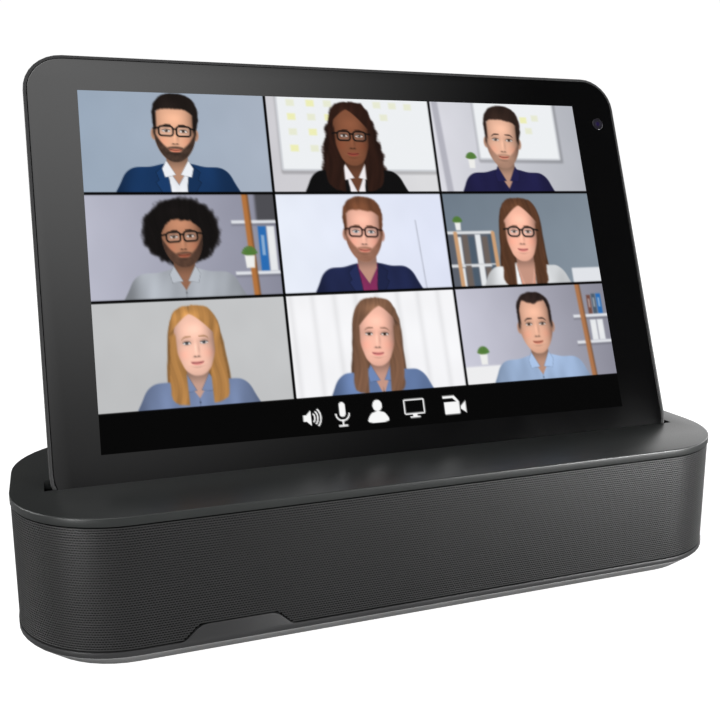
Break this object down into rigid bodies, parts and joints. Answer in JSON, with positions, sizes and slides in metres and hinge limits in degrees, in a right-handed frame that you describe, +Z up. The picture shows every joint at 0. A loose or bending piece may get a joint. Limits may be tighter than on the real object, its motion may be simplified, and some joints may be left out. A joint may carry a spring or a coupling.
{
  "type": "smart display",
  "caption": "Tablet with a glass front standing tilted in the slot of a long rounded speaker dock with a wrap-around mesh, front tab and rear buttons.",
  "frame": {"origin": "on the surface that the dock stands on, under the middle of the dock", "axes": "+X to the right along the dock, +Y to the back, +Z up; the screen faces -Y and leans back"},
  "size_m": [0.2812, 0.098, 0.2039],
  "materials": {
    "dock_plastic": "satin black",
    "grille": "fine perforated mesh, dark grey",
    "base_plastic": "satin grey",
    "trim_plastic": "satin dark grey",
    "inner_plastic": "moulded black",
    "tablet_plastic": "satin dark grey",
    "cover_glass": "polished, black printed border",
    "display": "lit panel behind glass",
    "lens_glass": "coated lens",
    "rubber": "matt black",
    "board": "solder mask green",
    "battery": "foil pouch",
    "steel": "stamped",
    "black_steel": "black",
    "magnet": "ground ferrite",
    "gold": "plated",
    "paper_cone": "pressed pulp, black",
    "wire": "red insulation"
  },
  "bodies": {
    "dock": {"top_plate": "dock_plastic", "cradle": "inner_plastic", "cradle_pad": "rubber", "contact_block": "inner_plastic", "enclosure": "inner_plastic", "speaker_mesh": "grille", "rear_panel": "dock_plastic", "base_trim": "trim_plastic", "base_plate": "base_plastic", "foot_front_left": "rubber", "foot_front_right": "rubber", "foot_rear_left": "rubber", "foot_rear_right": "rubber", "base_screw_1": "black_steel", "base_screw_2": "black_steel", "base_screw_3": "black_steel", "base_screw_4": "black_steel", "base_screw_5": "black_steel", "base_screw_6": "black_steel", "board_screw_left": "black_steel", "board_screw_right": "black_steel", "driver_frame_left": "black_steel", "driver_frame_right": "black_steel", "driver_magnet_left": "magnet", "driver_magnet_right": "magnet", "driver_surround_left": "rubber", "driver_surround_right": "rubber", "driver_gasket_left": "rubber", "driver_gasket_right": "rubber", "amplifier_board": "board", "button_board": "board", "power_socket": "steel", "speaker_lead_left": "wire", "speaker_lead_right": "wire", "contact_lead": "wire"},
    "tablet": {"tablet_shell": "tablet_plastic", "cover_glass": "cover_glass", "display_panel": "display", "mid_frame": "black_steel", "tablet_battery": "battery", "tablet_board": "board", "front_camera": "lens_glass", "rear_camera": "black_steel", "rear_camera_window": "lens_glass", "tablet_port": "steel", "tablet_speaker": "inner_plastic", "contact_strip": "gold", "key_flex": "board"},
    "power_key": {"power_key": "tablet_plastic"},
    "volume_rocker": {"volume_rocker": "tablet_plastic"},
    "dock_power_button": {"dock_power_button": "dock_plastic"},
    "pairing_button": {"pairing_button": "dock_plastic"},
    "contact_pin_1": {"contact_pin_1": "gold"},
    "contact_pin_2": {"contact_pin_2": "gold"},
    "contact_pin_3": {"contact_pin_3": "gold"},
    "contact_pin_4": {"contact_pin_4": "gold"},
    "cone_left": {"driver_cone_left": "paper_cone"},
    "cone_right": {"driver_cone_right": "paper_cone"}
  },
  "joints": [
    {"name": "tablet_lift", "type": "slide", "parent": "dock", "child": "tablet", "axis": [0, 0.3502, 0.9367], "range_m": [0, 0.06]},
    {"name": "power_key_press", "type": "slide", "parent": "tablet", "child": "power_key", "axis": [0, -0.3502, -0.9367], "range_m": [0, 0.0003], "stiffness_N_per_m": 4000, "springref_m": -0.0002},
    {"name": "volume_rocker_tilt", "type": "hinge", "parent": "tablet", "child": "volume_rocker", "pos_m": [0.06, 0.04408, 0.20106], "axis": [0, 0.9367, -0.3502], "range_deg": [-1.2, 1.2], "stiffness_Nm_per_rad": 0.4},
    {"name": "dock_power_press", "type": "slide", "parent": "dock", "child": "dock_power_button", "axis": [0, -1, 0], "range_m": [0, 0.0008], "stiffness_N_per_m": 2000, "springref_m": -0.0002},
    {"name": "pairing_press", "type": "slide", "parent": "dock", "child": "pairing_button", "axis": [0, -1, 0], "range_m": [0, 0.0008], "stiffness_N_per_m": 2000, "springref_m": -0.0002},
    {"name": "contact_pin_1_travel", "type": "slide", "parent": "dock", "child": "contact_pin_1", "axis": [0, -0.3502, -0.9367], "range_m": [0, 0.0009], "stiffness_N_per_m": 500, "springref_m": -0.0005},
    {"name": "contact_pin_2_travel", "type": "slide", "parent": "dock", "child": "contact_pin_2", "axis": [0, -0.3502, -0.9367], "range_m": [0, 0.0009], "stiffness_N_per_m": 500, "springref_m": -0.0005},
    {"name": "contact_pin_3_travel", "type": "slide", "parent": "dock", "child": "contact_pin_3", "axis": [0, -0.3502, -0.9367], "range_m": [0, 0.0009], "stiffness_N_per_m": 500, "springref_m": -0.0005},
    {"name": "contact_pin_4_travel", "type": "slide", "parent": "dock", "child": "contact_pin_4", "axis": [0, -0.3502, -0.9367], "range_m": [0, 0.0009], "stiffness_N_per_m": 500, "springref_m": -0.0005},
    {"name": "cone_left_travel", "type": "slide", "parent": "dock", "child": "cone_left", "axis": [0, -1, 0], "range_m": [-0.0015, 0.0015], "stiffness_N_per_m": 2500},
    {"name": "cone_right_travel", "type": "slide", "parent": "dock", "child": "cone_right", "axis": [0, -1, 0], "range_m": [-0.0015, 0.0015], "stiffness_N_per_m": 2500}
  ],
  "couplings": [
    {"joint": "contact_pin_2_travel", "follows": "contact_pin_1_travel", "ratio": 1},
    {"joint": "contact_pin_3_travel", "follows": "contact_pin_1_travel", "ratio": 1},
    {"joint": "contact_pin_4_travel", "follows": "contact_pin_1_travel", "ratio": 1}
  ]
}
